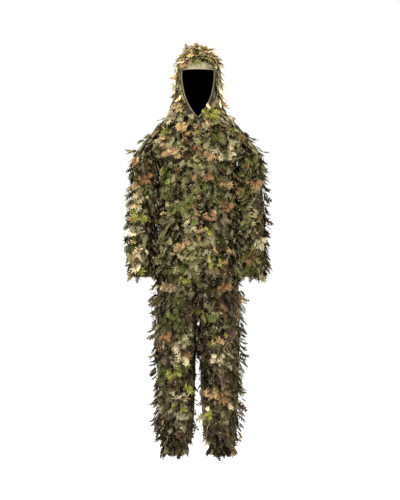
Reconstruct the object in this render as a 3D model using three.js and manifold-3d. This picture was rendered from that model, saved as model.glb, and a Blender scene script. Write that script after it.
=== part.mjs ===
// A two-piece leaf-covered ghillie suit: a hooded jacket over a pair of trousers, hanging as worn.
// Millimetres, +Z up, the wearer faces -Y and the wearer's left is +X.
// Heights are measured up from the trouser hem, and the origin is moved to the waistband at the end.
import * as THREE from 'three';
import { mergeVertices } from 'three/addons/utils/BufferGeometryUtils.js';
import Module from 'manifold-3d';

const wasm = await Module();
wasm.setup();

// Heights.
const TROUSER_HEIGHT = 950;
const WAISTBAND_HEIGHT = 40;
const HIP_HEIGHT = 700;
const KNEE_HEIGHT = 400;
const JACKET_HEM_HEIGHT = 790;
const JACKET_LENGTH = 682;
const SHOULDER_DROP = 182;
const ARMPIT_RISE = 28;
const ELBOW_DROP = 250;
const SLEEVE_LENGTH = 527;
const HOOD_HEIGHT = 278;
const FACE_HEIGHT = 177;
const THROAT_DROP = 32;

// Girths, as half widths (along X) and half depths (along Y).
const HEM_HALF_WIDTH = 190;
const HEM_HALF_DEPTH = 140;
const CHEST_HALF_WIDTH = 169;
const SHOULDER_HALF_WIDTH = 276;
const NECK_HALF_WIDTH = 118;
const NECK_HALF_DEPTH = 115;
const HOOD_HALF_WIDTH = 98;
const HOOD_HALF_DEPTH = 122;
const FACE_HALF_WIDTH = 74;
const SLEEVE_HALF_WIDTH = 52;
const SLEEVE_HALF_DEPTH = 60;
const CUFF_HALF_WIDTH = 34;
const CUFF_HALF_DEPTH = 38;
const WAIST_HALF_WIDTH = 150;
const WAIST_HALF_DEPTH = 106;
const SEAT_HALF_WIDTH = 178;
const SEAT_HALF_DEPTH = 104;
const LEG_HALF_WIDTH = 87;
const LEG_HALF_DEPTH = 95;
const ANKLE_HALF_WIDTH = 42;
const ANKLE_HALF_DEPTH = 50;
const CROTCH_GAP = 12;

// Cloth, bands and clearances.
const WALL = 3;
const ELASTIC_THICKNESS = 1.6;
const ELASTIC_INSET = 5;
const GAP = 0.5;
const SEAM_GAP = 1;
const HEM_BAND = 25;
const CUFF_BAND = 32;
const ANKLE_BAND = 34;
const FACE_BAND = 10;
const ARMHOLE_CLEARANCE = 5;
const BEND_CLEARANCE = 7;
const SIDES = 28;

// How far each sleeve and leg bends, in degrees. The bare length left at a joint follows from it.
const SHOULDER_BEND = 80;
const ELBOW_BEND = 80;
const HIP_BEND = 60;
const KNEE_BEND = 80;

// The front zip.
const ZIP_SLOT = 32;
const ZIP_MARGIN = 7;
const TAPE_WIDTH = 10;
const TAPE_THICKNESS = 1.2;
const TEETH_OUTER = 4.7;
const TEETH_INNER = 1.6;
const TEETH_PITCH = 10;
const TEETH_DEPTH = 3;
const SLIDER_LENGTH = 16;
const SLIDER_HALF_WIDTH = 7;
const PLATE_THICKNESS = 2;
const PIN_RADIUS = 1;
const EYE_RADIUS = 2.6;
const EYE_HALF_WIDTH = 1.6;
const LUG_WIDTH = 1.4;
const TAB_HALF_WIDTH = 4.5;
const ZIP_BOX_HEIGHT = 10;
const PULL_LENGTH = 34;
const PULL_THICKNESS = 2;

// Leaf strips.
const LEAF_THICKNESS = 3;
const LEAF_LENGTH = 20;
const LEAF_PITCH = 34;
const LEAF_STANDOFF = 2.5;
const LEAF_RIB = 6;
const COLUMN_OFFSET = 75;

const NECK_HEIGHT = JACKET_HEM_HEIGHT + JACKET_LENGTH;
const SHOULDER_HEIGHT = NECK_HEIGHT - SHOULDER_DROP;
const ARMPIT_HEIGHT = SHOULDER_HEIGHT - ARMPIT_RISE;
const ELBOW_HEIGHT = SHOULDER_HEIGHT - ELBOW_DROP;
const CUFF_HEIGHT = SHOULDER_HEIGHT - SLEEVE_LENGTH;
const HOOD_TOP = NECK_HEIGHT + HOOD_HEIGHT;
const FACE_TOP = NECK_HEIGHT + FACE_HEIGHT;
const THROAT_HEIGHT = NECK_HEIGHT - THROAT_DROP;
const WAIST_HEIGHT = TROUSER_HEIGHT - WAISTBAND_HEIGHT / 2;
const SLEEVE_X = SHOULDER_HALF_WIDTH - SLEEVE_HALF_WIDTH;
const LEG_X = CROTCH_GAP / 2 + LEG_HALF_WIDTH;
const PAIR = [{ side: 1, hand: 'left' }, { side: -1, hand: 'right' }];

const SAGE = 0x6f7556;
const BARK = 0x4a4034;
const OLIVE = 0x565a3c;
const RUST = 0x8a4f2a;
const FERN = 0x8c8f3e;
const BAND = 0x6a6652;
const ELASTIC = 0x2b2a24;
const ZIP_METAL = 0x3d3a30;

// ---- solids -------------------------------------------------------------------------------------

// A closed solid from a geometry, with shared corners merged and its faces turned outwards.
function solid(geometry) {
  geometry.deleteAttribute('normal');
  geometry.deleteAttribute('uv');
  const merged = mergeVertices(geometry, 1e-3);
  const corner = merged.attributes.position;
  const [a, b, c] = [new THREE.Vector3(), new THREE.Vector3(), new THREE.Vector3()];
  const triangles = [];
  let volume = 0;
  for (let i = 0; i < merged.index.count; i += 3) {
    const [p, q, r] = [0, 1, 2].map((k) => merged.index.getX(i + k));
    if (p === q || q === r || r === p) continue;
    triangles.push([p, q, r]);
    a.fromBufferAttribute(corner, p);
    b.fromBufferAttribute(corner, q);
    c.fromBufferAttribute(corner, r);
    volume += a.dot(b.cross(c));
  }
  const outwards = volume > 0 ? triangles : triangles.map(([p, q, r]) => [p, r, q]);
  return new wasm.Manifold(new wasm.Mesh({
    numProp: 3,
    vertProperties: new Float32Array(corner.array),
    triVerts: new Uint32Array(outwards.flat()),
  }));
}

// One cross-section of a limb or of the body: an ellipse at a height.
function station(z, halfWidth, halfDepth, x = 0) {
  return { z, halfWidth, halfDepth, x };
}

// The cross-section of an outline at any height between its ends.
function at(outline, z) {
  const above = Math.max(1, outline.findIndex((s) => s.z >= z));
  const [low, high] = [outline[above - 1], outline[above]];
  const t = (z - low.z) / (high.z - low.z);
  const mix = (key) => low[key] + t * (high[key] - low[key]);
  return station(z, mix('halfWidth'), mix('halfDepth'), mix('x'));
}

// The part of an outline between two heights.
function span(outline, from, to) {
  const inside = outline.filter((s) => s.z > from + GAP && s.z < to - GAP);
  return [at(outline, from), ...inside, at(outline, to)];
}

// A full solid through a list of cross-sections.
function loft(stations) {
  const last = stations.length - 1;
  const rim = stations.map((_, i) => new THREE.Vector2(1, i));
  const profile = [new THREE.Vector2(0, 0), ...rim, new THREE.Vector2(0, last)];
  const geometry = new THREE.LatheGeometry(profile, SIDES);
  geometry.rotateX(Math.PI / 2);
  const corner = geometry.attributes.position;
  for (let i = 0; i < corner.count; i += 1) {
    const s = stations[Math.round(corner.getZ(i))];
    const x = s.x + s.halfWidth * corner.getX(i);
    corner.setXYZ(i, x, s.halfDepth * corner.getY(i), s.z);
  }
  return solid(geometry);
}

function grow(stations, by, lift = 0) {
  return stations.map((s) => station(s.z + lift, s.halfWidth + by, s.halfDepth + by, s.x));
}

// An open tube of cloth. Its bore runs a little past both ends, so that the cut is clean.
function tube(stations, wall = WALL) {
  const bore = grow(stations, -wall);
  const [first, last] = [bore[0], bore[bore.length - 1]];
  const ends = [{ ...first, z: first.z - GAP }, { ...last, z: last.z + GAP }];
  return loft(stations).subtract(loft([ends[0], ...bore, ends[1]]));
}

// A tube inside another, which lies against its wall.
function lining(stations, inset) {
  const [low, high] = [stations[0].z + inset, stations[stations.length - 1].z - inset];
  return tube(grow(span(stations, low, high), -WALL - GAP), ELASTIC_THICKNESS);
}

function block([x0, x1], [y0, y1], [z0, z1]) {
  const geometry = new THREE.BoxGeometry(x1 - x0, y1 - y0, z1 - z0);
  geometry.translate((x0 + x1) / 2, (y0 + y1) / 2, (z0 + z1) / 2);
  return solid(geometry);
}

// A flat outline drawn in X and Z, given a thickness along Y, and bent by moving its corners in Y.
function slab(shape, [y0, y1], bend = (x, y) => y) {
  const geometry = new THREE.ExtrudeGeometry(shape, {
    depth: y1 - y0,
    bevelEnabled: false,
    curveSegments: 6,
  });
  geometry.rotateX(Math.PI / 2);
  geometry.translate(0, y1, 0);
  const corner = geometry.attributes.position;
  for (let i = 0; i < corner.count; i += 1) {
    corner.setY(i, bend(corner.getX(i), corner.getY(i), corner.getZ(i)));
  }
  return solid(geometry);
}

function polygon(points) {
  return new THREE.Shape(points.map(([x, z]) => new THREE.Vector2(x, z)));
}

const FAR = 1000;
const front = [-FAR, 0];
const everyHeight = [-FAR, 3 * FAR];

function sideRange(side, from) {
  return side > 0 ? [from, FAR] : [-FAR, -from];
}

// ---- the suit -----------------------------------------------------------------------------------

const suit = new THREE.Group();
suit.position.z = -WAIST_HEIGHT;

function addPiece(name, shape, color, roughness = 0.95, metalness = 0, parent = suit) {
  const { vertProperties, triVerts } = shape.getMesh();
  const geometry = new THREE.BufferGeometry();
  geometry.setAttribute('position', new THREE.BufferAttribute(vertProperties, 3));
  geometry.setIndex(new THREE.BufferAttribute(triVerts, 1));
  geometry.computeVertexNormals();
  const material = new THREE.MeshStandardMaterial({ color, roughness, metalness });
  const mesh = new THREE.Mesh(geometry, material);
  mesh.name = name;
  parent.add(mesh);
}

// The length of bare cloth that a joint needs, so that the two tubes beside it never meet.
function bendLength(radius, degrees) {
  return radius * Math.tan(THREE.MathUtils.degToRad(degrees / 2)) + BEND_CLEARANCE;
}

// How far below a hinge a tube starts, to swing up past the rim of a deeper tube above it.
function swingLength(radius, degrees) {
  return radius * Math.sin(THREE.MathUtils.degToRad(degrees)) + BEND_CLEARANCE;
}

// ---- jacket body --------------------------------------------------------------------------------

// The front of the jacket is one straight line from hem to neck, which the zip lies on.
function jacketDepth(z) {
  const t = (z - JACKET_HEM_HEIGHT) / JACKET_LENGTH;
  return HEM_HALF_DEPTH + t * (NECK_HALF_DEPTH - HEM_HALF_DEPTH);
}

// The shoulder line falls from the neck to the arm, almost straight.
function shoulderWidth(t) {
  return NECK_HALF_WIDTH + (SHOULDER_HALF_WIDTH - NECK_HALF_WIDTH) * (1 - t ** 1.1);
}

function jacketOutline() {
  const waistZ = JACKET_HEM_HEIGHT + 0.4 * (ARMPIT_HEIGHT - JACKET_HEM_HEIGHT);
  const slope = [0, 0.25, 0.5, 0.75, 1].map((t) => {
    const z = SHOULDER_HEIGHT + t * SHOULDER_DROP;
    return station(z, shoulderWidth(t), jacketDepth(z));
  });
  return [
    station(JACKET_HEM_HEIGHT, HEM_HALF_WIDTH, jacketDepth(JACKET_HEM_HEIGHT)),
    station(waistZ, CHEST_HALF_WIDTH, jacketDepth(waistZ)),
    station(ARMPIT_HEIGHT, CHEST_HALF_WIDTH, jacketDepth(ARMPIT_HEIGHT)),
    ...slope,
  ];
}

// The bore's underarm is lifted by a wall, because the cloth lies almost level there.
function jacketShell(outline, from) {
  const stations = span(outline, from, NECK_HEIGHT);
  const bore = grow(stations, -WALL).map((s) => {
    const lift = s.z >= ARMPIT_HEIGHT && s.z < SHOULDER_HEIGHT + GAP ? WALL : 0;
    return { ...s, z: s.z + lift };
  });
  const [first, last] = [bore[0], bore[bore.length - 1]];
  const ends = [{ ...first, z: first.z - GAP }, { ...last, z: last.z + GAP }];
  return loft(stations).subtract(loft([ends[0], ...bore, ends[1]]));
}

// The opening for each arm through the level cloth under the shoulder.
function armhole(side) {
  const width = SLEEVE_HALF_WIDTH + ARMHOLE_CLEARANCE;
  const depth = SLEEVE_HALF_DEPTH + ARMHOLE_CLEARANCE;
  const x = side * SLEEVE_X;
  const low = ARMPIT_HEIGHT - ARMPIT_RISE;
  return loft([station(low, width, depth, x), station(SHOULDER_HEIGHT + GAP, width, depth, x)])
    .subtract(block([-CHEST_HALF_WIDTH - GAP, CHEST_HALF_WIDTH + GAP], [-FAR, FAR], everyHeight));
}

// The outline of the face opening, drawn in X and Z, from the throat up to the brow.
function faceShape(inset) {
  const width = FACE_HALF_WIDTH - inset;
  const top = FACE_TOP - inset;
  const tip = THROAT_HEIGHT + 2 * inset;
  const cheek = NECK_HEIGHT + 0.45 * FACE_HEIGHT;
  const shape = new THREE.Shape();
  shape.moveTo(0, tip);
  shape.quadraticCurveTo(0.62 * width, tip + 0.4 * (cheek - tip), 0.86 * width, cheek);
  shape.quadraticCurveTo(1.08 * width, top - 20, 0.96 * width, top);
  shape.lineTo(-0.96 * width, top);
  shape.quadraticCurveTo(-1.08 * width, top - 20, -0.86 * width, cheek);
  shape.quadraticCurveTo(-0.62 * width, tip + 0.4 * (cheek - tip), 0, tip);
  return shape;
}

function addJacketBody() {
  const outline = jacketOutline();
  const zipSlot = block([-ZIP_SLOT / 2, ZIP_SLOT / 2], front, [0, THROAT_HEIGHT + THROAT_DROP / 2]);
  const face = slab(faceShape(0), front);
  const panels = PAIR.reduce(
    (shell, { side }) => shell.subtract(armhole(side)),
    jacketShell(outline, JACKET_HEM_HEIGHT + HEM_BAND + GAP),
  );
  const rear = block([-FAR, FAR], [SEAM_GAP / 2, FAR], everyHeight);
  addPiece('jacket_back', panels.intersect(rear), SAGE);
  for (const { side, hand } of PAIR) {
    const half = block(sideRange(side, 0), [-FAR, -SEAM_GAP / 2], everyHeight);
    const panel = panels.intersect(half).subtract(zipSlot).subtract(face);
    addPiece(`jacket_front_${hand}`, panel, SAGE);
  }
  const hem = span(outline, JACKET_HEM_HEIGHT, JACKET_HEM_HEIGHT + HEM_BAND);
  addPiece('jacket_hem_band', tube(hem).subtract(zipSlot), BAND);
  addPiece('jacket_hem_elastic', lining(hem, ELASTIC_INSET).subtract(zipSlot), ELASTIC);
  addColumns(outline);
}

// ---- hood ---------------------------------------------------------------------------------------

function hoodOutline() {
  const foot = NECK_HEIGHT + SEAM_GAP;
  const wide = foot + 0.32 * HOOD_HEIGHT;
  const crown = foot + 0.54 * HOOD_HEIGHT;
  const dome = HOOD_TOP - crown;
  const round = [0, 0.4, 0.65, 0.84, 0.95, 1].map((t) => {
    const share = Math.max(0.2, Math.sqrt(1 - t ** 2.5));
    const depth = NECK_HALF_DEPTH - 10 + (HOOD_HALF_DEPTH - NECK_HALF_DEPTH + 10) * share;
    return station(crown + t * dome, (HOOD_HALF_WIDTH - 4) * share, depth * share);
  });
  return [
    station(foot, NECK_HALF_WIDTH - 6, NECK_HALF_DEPTH),
    station(wide, HOOD_HALF_WIDTH, HOOD_HALF_DEPTH),
    ...round,
  ];
}

function addHood() {
  const outline = hoodOutline();
  const bore = grow(outline, -WALL, -WALL);
  const shell = loft(outline).subtract(loft([{ ...bore[0], z: bore[0].z - GAP }, ...bore]));
  const cut = slab(faceShape(0), front);
  const top = slab(faceShape(FACE_BAND), front);
  for (const { side, hand } of PAIR) {
    const half = block(sideRange(side, SEAM_GAP / 2), [-FAR, FAR], everyHeight);
    addPiece(`hood_${hand}`, shell.intersect(half).subtract(cut), SAGE);
  }
  const edge = shell.intersect(slab(faceShape(GAP), front)).subtract(top);
  addPiece('hood_edge_band', edge, BAND);
}

// ---- sleeves ------------------------------------------------------------------------------------

function sleeveOutline(side) {
  const cuffTop = CUFF_HEIGHT + CUFF_BAND;
  const line = [
    [CUFF_HEIGHT, CUFF_HALF_WIDTH, CUFF_HALF_DEPTH, 19],
    [cuffTop, CUFF_HALF_WIDTH + 9, CUFF_HALF_DEPTH + 9, 20],
    [cuffTop + 30, SLEEVE_HALF_WIDTH - 4, SLEEVE_HALF_DEPTH - 6, 18],
    [ELBOW_HEIGHT, SLEEVE_HALF_WIDTH - 1, SLEEVE_HALF_DEPTH - 2, 10],
    [SHOULDER_HEIGHT, SLEEVE_HALF_WIDTH, SLEEVE_HALF_DEPTH, 0],
  ];
  return line.map(([z, width, depth, out]) => station(z, width, depth, side * (SLEEVE_X + out)));
}

function addSleeve(side, hand) {
  const outline = sleeveOutline(side);
  const upperTop = SHOULDER_HEIGHT - bendLength(SLEEVE_HALF_WIDTH, SHOULDER_BEND);
  const lowerTop = ELBOW_HEIGHT - bendLength(SLEEVE_HALF_DEPTH, ELBOW_BEND);
  const cuffTop = CUFF_HEIGHT + CUFF_BAND;
  const cuff = span(outline, CUFF_HEIGHT, cuffTop);
  addPiece(`shoulder_${hand}`, tube(span(outline, upperTop + GAP, SHOULDER_HEIGHT - GAP)), OLIVE);
  addPiece(`sleeve_upper_${hand}`, tube(span(outline, ELBOW_HEIGHT, upperTop)), SAGE);
  addPiece(`elbow_${hand}`, tube(span(outline, lowerTop + GAP, ELBOW_HEIGHT - GAP)), OLIVE);
  addPiece(`sleeve_lower_${hand}`, tube(span(outline, cuffTop + GAP, lowerTop)), SAGE);
  addPiece(`cuff_${hand}`, tube(cuff), BAND);
  addPiece(`cuff_elastic_${hand}`, lining(cuff, ELASTIC_INSET), ELASTIC);
  const upperLeaves = seamLeaves(outline, ELBOW_HEIGHT, upperTop, side);
  const lowerLeaves = seamLeaves(outline, cuffTop, lowerTop, side);
  addPiece(`leaf_strip_upper_sleeve_${hand}`, upperLeaves, FERN);
  addPiece(`leaf_strip_lower_sleeve_${hand}`, lowerLeaves, RUST);
}

// ---- trousers -----------------------------------------------------------------------------------

function seatOutline() {
  return [
    station(HIP_HEIGHT, SEAT_HALF_WIDTH, SEAT_HALF_DEPTH),
    station(HIP_HEIGHT + 90, SEAT_HALF_WIDTH - 6, SEAT_HALF_DEPTH + 6),
    station(TROUSER_HEIGHT - WAISTBAND_HEIGHT, WAIST_HALF_WIDTH + 6, WAIST_HALF_DEPTH + 4),
    station(TROUSER_HEIGHT, WAIST_HALF_WIDTH, WAIST_HALF_DEPTH),
  ];
}

function addSeat() {
  const outline = seatOutline();
  const bandFoot = TROUSER_HEIGHT - WAISTBAND_HEIGHT;
  const shell = tube(span(outline, HIP_HEIGHT, bandFoot - GAP));
  const band = span(outline, bandFoot, TROUSER_HEIGHT);
  for (const { side, hand } of PAIR) {
    const halves = { front: [-FAR, -SEAM_GAP / 2], back: [SEAM_GAP / 2, FAR] };
    for (const [face, depth] of Object.entries(halves)) {
      const quarter = block(sideRange(side, SEAM_GAP / 2), depth, everyHeight);
      addPiece(`seat_${face}_${hand}`, shell.intersect(quarter), BARK);
    }
  }
  addPiece('waistband', tube(band), BAND);
  addPiece('waist_elastic', lining(band, ELASTIC_INSET), ELASTIC);
}

function legOutline(side) {
  const line = [
    [0, ANKLE_HALF_WIDTH, ANKLE_HALF_DEPTH, 5],
    [ANKLE_BAND, ANKLE_HALF_WIDTH + 8, ANKLE_HALF_DEPTH + 6, 4],
    [ANKLE_BAND + 30, LEG_HALF_WIDTH - 22, LEG_HALF_DEPTH - 28, 2],
    [ANKLE_BAND + 90, LEG_HALF_WIDTH - 12, LEG_HALF_DEPTH - 17, 0],
    [KNEE_HEIGHT, LEG_HALF_WIDTH - 3, LEG_HALF_DEPTH - 9, 0],
    [HIP_HEIGHT, LEG_HALF_WIDTH, LEG_HALF_DEPTH, 0],
  ];
  return line.map(([z, width, depth, out]) => station(z, width, depth, side * (LEG_X + out)));
}

function addLeg(side, hand) {
  const outline = legOutline(side);
  const thighTop = HIP_HEIGHT - swingLength(SEAT_HALF_DEPTH, HIP_BEND);
  const shinTop = KNEE_HEIGHT - bendLength(LEG_HALF_DEPTH - 9, KNEE_BEND);
  const ankle = span(outline, 0, ANKLE_BAND);
  addPiece(`hip_${hand}`, tube(span(outline, thighTop + GAP, HIP_HEIGHT - GAP)), BARK);
  addPiece(`thigh_${hand}`, tube(span(outline, KNEE_HEIGHT, thighTop)), BARK);
  addPiece(`knee_${hand}`, tube(span(outline, shinTop + GAP, KNEE_HEIGHT - GAP)), BARK);
  addPiece(`shin_${hand}`, tube(span(outline, ANKLE_BAND + GAP, shinTop)), BARK);
  addPiece(`ankle_hem_${hand}`, tube(ankle), BAND);
  addPiece(`ankle_elastic_${hand}`, lining(ankle, ELASTIC_INSET), ELASTIC);
  addPiece(`leaf_strip_thigh_${hand}`, seamLeaves(outline, KNEE_HEIGHT, thighTop, side), BARK);
  addPiece(`leaf_strip_shin_${hand}`, seamLeaves(outline, ANKLE_BAND, shinTop, side), BARK);
}

// ---- leaf strips --------------------------------------------------------------------------------

// A ribbon of leaf points standing out from a side seam, with its tips turned down.
function seamLeaves(outline, from, to, side) {
  const edge = (z) => {
    const s = at(outline, z);
    return side * s.x + s.halfWidth + LEAF_STANDOFF;
  };
  const count = Math.floor((to - from) / LEAF_PITCH);
  const pitch = (to - from - 2 * GAP) / count;
  const points = [];
  for (let i = 0; i < count; i += 1) {
    const z = from + GAP + i * pitch;
    points.push([edge(z + 0.15 * pitch) + LEAF_RIB, z + 0.15 * pitch]);
    points.push([edge(z + 0.25 * pitch) + LEAF_LENGTH, z + 0.25 * pitch]);
    points.push([edge(z + 0.85 * pitch) + LEAF_RIB, z + 0.85 * pitch]);
  }
  const inner = span(outline, from + GAP, to - GAP).reverse();
  points.push(...inner.map((s) => [edge(s.z), s.z]));
  return slab(polygon(points.map(([x, z]) => [side * x, z])), [-LEAF_THICKNESS / 2, LEAF_THICKNESS / 2]);
}

// A ribbon with leaf points on both edges, bent to lie over the front or the back of the jacket.
function columnLeaves(outline, x, facing) {
  const [from, to] = [JACKET_HEM_HEIGHT + HEM_BAND + LEAF_PITCH, ARMPIT_HEIGHT - LEAF_PITCH];
  const count = Math.floor((to - from) / LEAF_PITCH);
  const right = [];
  for (let i = 0; i < count; i += 1) {
    const z = from + i * LEAF_PITCH;
    right.push([x + LEAF_RIB, z], [x + LEAF_LENGTH, z + 0.2 * LEAF_PITCH]);
  }
  right.push([x + LEAF_RIB, from + count * LEAF_PITCH]);
  const left = right.map(([px, z]) => [2 * x - px, z]).reverse();
  return slab(polygon([...right, ...left]), [0, LEAF_THICKNESS], (px, y, z) => {
    const s = at(outline, z);
    const surface = s.halfDepth * Math.sqrt(1 - (px / s.halfWidth) ** 2);
    return facing * (surface + LEAF_STANDOFF + y);
  });
}

function addColumns(outline) {
  for (const { side, hand } of PAIR) {
    const x = side * COLUMN_OFFSET;
    addPiece(`leaf_strip_front_${hand}`, columnLeaves(outline, x, -1), RUST);
    addPiece(`leaf_strip_back_${hand}`, columnLeaves(outline, x, 1), FERN);
  }
}

// ---- zip ----------------------------------------------------------------------------------------

// One row of teeth on its rib, with the teeth pointing at the other row.
function teeth(side, [from, to]) {
  const points = [[TEETH_OUTER, from], [TEETH_OUTER, to]];
  const count = Math.floor((to - from) / TEETH_PITCH);
  const root = (TEETH_INNER + TEETH_OUTER) / 2;
  for (let i = count - 1; i >= 0; i -= 1) {
    const z = from + i * TEETH_PITCH;
    points.push([root, z + 0.75 * TEETH_PITCH], [TEETH_INNER, z + 0.75 * TEETH_PITCH]);
    points.push([TEETH_INNER, z + 0.25 * TEETH_PITCH], [root, z + 0.25 * TEETH_PITCH]);
  }
  const shape = polygon(points.map(([x, z]) => [side * x, z]));
  return slab(shape, [-TEETH_DEPTH / 2, TEETH_DEPTH / 2]);
}

// A cylinder along X.
function crossPin(radius, halfLength, y, z) {
  const geometry = new THREE.CylinderGeometry(radius, radius, 2 * halfLength, 12);
  geometry.rotateZ(Math.PI / 2);
  geometry.translate(0, y, z);
  return solid(geometry);
}

const SLIDER_FACE = -TEETH_DEPTH / 2 - GAP - PLATE_THICKNESS;
const PIN_Y = SLIDER_FACE - EYE_RADIUS - GAP;

// Two plates joined by a neck between the rows of teeth, with lugs and a pin for the pull.
function slider(z) {
  const [low, high] = [z - SLIDER_LENGTH / 2, z + SLIDER_LENGTH / 2];
  const plate = [-SLIDER_HALF_WIDTH, SLIDER_HALF_WIDTH];
  const neck = TEETH_INNER - GAP;
  const behind = TEETH_DEPTH / 2 + GAP;
  const lugInner = EYE_HALF_WIDTH + GAP;
  const lugFace = PIN_Y - 2 * PIN_RADIUS;
  const lug = [z - 3 * PIN_RADIUS, z + 3 * PIN_RADIUS];
  let body = block(plate, [SLIDER_FACE, SLIDER_FACE + PLATE_THICKNESS], [low, high])
    .add(block(plate, [behind, behind + PLATE_THICKNESS], [low, high]))
    .add(block([-neck, neck], [SLIDER_FACE + 1, behind + 1], [low, high]))
    .add(crossPin(PIN_RADIUS, lugInner + LUG_WIDTH / 2, PIN_Y, z));
  for (const { side } of PAIR) {
    const reach = [side * lugInner, side * (lugInner + LUG_WIDTH)].sort((a, b) => a - b);
    body = body.add(block(reach, [lugFace, SLIDER_FACE + 1], lug));
  }
  return body;
}

// The pull tab: an eye round the pin and a flat tab that hangs in front of the slider.
function pull(z) {
  const tabTop = z - 2 * EYE_RADIUS;
  const tab = [PIN_Y - PULL_THICKNESS / 2, PIN_Y + PULL_THICKNESS / 2];
  return crossPin(EYE_RADIUS, EYE_HALF_WIDTH, PIN_Y, z)
    .add(block([-EYE_HALF_WIDTH, EYE_HALF_WIDTH], tab, [tabTop - 1, z - PIN_RADIUS]))
    .add(block([-TAB_HALF_WIDTH, TAB_HALF_WIDTH], tab, [z - PULL_LENGTH, tabTop]))
    .subtract(crossPin(PIN_RADIUS + GAP, SLIDER_HALF_WIDTH, PIN_Y, z));
}

function addZip() {
  const zip = new THREE.Group();
  const [rise, lean] = [JACKET_LENGTH, HEM_HALF_DEPTH - NECK_HALF_DEPTH];
  const slope = Math.hypot(rise, lean) / rise;
  const length = (THROAT_HEIGHT - JACKET_HEM_HEIGHT) * slope - 2 * ZIP_MARGIN;
  const foot = ZIP_MARGIN;
  zip.position.set(0, WALL / 2 - HEM_HALF_DEPTH, JACKET_HEM_HEIGHT);
  zip.rotation.x = -Math.atan2(lean, rise);
  const row = [foot + ZIP_BOX_HEIGHT + GAP, foot + length];
  for (const { side, hand } of PAIR) {
    const inner = TEETH_OUTER + GAP;
    const tape = [side * inner, side * (inner + TAPE_WIDTH)].sort((a, b) => a - b);
    const depth = [-TAPE_THICKNESS / 2, TAPE_THICKNESS / 2];
    addPiece(`zip_tape_${hand}`, block(tape, depth, [foot, foot + length]), OLIVE, 0.9, 0, zip);
    addPiece(`zip_teeth_${hand}`, teeth(side, row), ZIP_METAL, 0.4, 0.8, zip);
  }
  const rest = foot + length - SLIDER_LENGTH;
  const box = block([-TEETH_OUTER, TEETH_OUTER], [-2.5, 2.5], [foot, foot + ZIP_BOX_HEIGHT]);
  addPiece('zip_box', box, ZIP_METAL, 0.4, 0.8, zip);
  addPiece('zip_slider', slider(rest), ZIP_METAL, 0.35, 0.9, zip);
  addPiece('zip_pull', pull(rest), ZIP_METAL, 0.35, 0.9, zip);
  suit.add(zip);
}

addJacketBody();
addHood();
for (const { side, hand } of PAIR) {
  addSleeve(side, hand);
  addLeg(side, hand);
}
addSeat();
addZip();

const model = new THREE.Group();
model.add(suit);
export default model;
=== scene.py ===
"""A leaf-covered ghillie suit: cloth panels, bands, zip and sewn-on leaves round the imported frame."""
import math
import random
from collections import namedtuple

import bmesh
import bpy
from mathutils import Matrix, Vector, noise


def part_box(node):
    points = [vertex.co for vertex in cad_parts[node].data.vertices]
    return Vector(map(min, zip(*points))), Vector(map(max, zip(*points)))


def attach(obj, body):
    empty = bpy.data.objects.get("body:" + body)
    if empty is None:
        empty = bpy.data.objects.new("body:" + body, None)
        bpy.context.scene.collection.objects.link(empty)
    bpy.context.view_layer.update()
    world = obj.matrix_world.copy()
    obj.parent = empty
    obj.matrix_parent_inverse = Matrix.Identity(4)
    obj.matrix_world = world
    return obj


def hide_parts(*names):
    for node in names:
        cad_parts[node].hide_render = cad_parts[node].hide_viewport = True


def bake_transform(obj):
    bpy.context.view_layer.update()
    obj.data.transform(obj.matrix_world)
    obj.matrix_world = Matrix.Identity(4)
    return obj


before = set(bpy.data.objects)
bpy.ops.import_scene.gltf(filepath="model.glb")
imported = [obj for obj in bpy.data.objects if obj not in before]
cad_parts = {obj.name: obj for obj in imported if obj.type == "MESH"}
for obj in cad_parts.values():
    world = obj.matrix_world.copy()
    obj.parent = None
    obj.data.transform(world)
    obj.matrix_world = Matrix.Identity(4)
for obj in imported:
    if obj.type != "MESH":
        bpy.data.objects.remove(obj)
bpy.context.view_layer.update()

SIDES = (("left", 1), ("right", -1))
TURN = 2 * math.pi
FROM_FRONT = (-math.pi / 2, 3 * math.pi / 2)

# Sizes that the frame's boxes don't give, in metres.
CLOTH_INSET = 0.0015
CLOTH_THICKNESS = 0.0014
BAND_THICKNESS = 0.003
BAND_COLUMNS = 144
NECK_HALF_WIDTH = 0.118
NECK_HALF_DEPTH = 0.115
HOOD_HALF_WIDTH = 0.098
CROWN_HALF_WIDTH = 0.094
ZIP_SLOT = 0.032
FACE_HALF_WIDTH = 0.074
FACE_BAND = 0.010
LEAF_LENGTH = 0.044
LEAF_SHEET = 0.020
BOX_MARGIN = 0.016


# ---- outlines, from the frame -----------------------------------------------------------------------

Ring = namedtuple("Ring", "z x wide deep")


def low(node):
    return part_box(node)[0]


def high(node):
    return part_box(node)[1]


HEM_Z = low("jacket_hem_band")[2]
HEM_TOP = high("jacket_hem_band")[2]
NECK_Z = high("jacket_back")[2]
SHOULDER_Z = high("shoulder_left")[2]
CHEST = low("shoulder_left")[0] - 0.003
SHOULDER_HALF_WIDTH = high("jacket_back")[0]
HEM_HALF_WIDTH = high("jacket_hem_band")[0]
HEM_HALF_DEPTH = high("jacket_hem_band")[1]
SLEEVE_REACH = max(high(name)[0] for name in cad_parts)
ARMPIT_Z = SHOULDER_Z - 0.028
HOOD_TOP = high("hood_left")[2]
FACE_TOP = high("hood_edge_band")[2]
THROAT_Z = NECK_Z - 0.032
SLEEVE_X = high("jacket_back")[0] - 0.052
CUFF_Z = low("cuff_left")[2]
ELBOW_Z = low("sleeve_upper_left")[2]
HIP_Z = low("seat_front_left")[2]
WAIST_TOP = high("waistband")[2]
KNEE_Z = low("thigh_left")[2]
ANKLE_Z = low("ankle_hem_left")[2]
ANKLE_TOP = high("ankle_hem_left")[2]
LEG_X = (low("hip_left")[0] + high("hip_left")[0]) / 2


def jacket_depth(z):
    """The front of the jacket is one straight line from the hem to the neck."""
    share = (z - HEM_Z) / (NECK_Z - HEM_Z)
    return HEM_HALF_DEPTH + share * (NECK_HALF_DEPTH - HEM_HALF_DEPTH)


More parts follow.
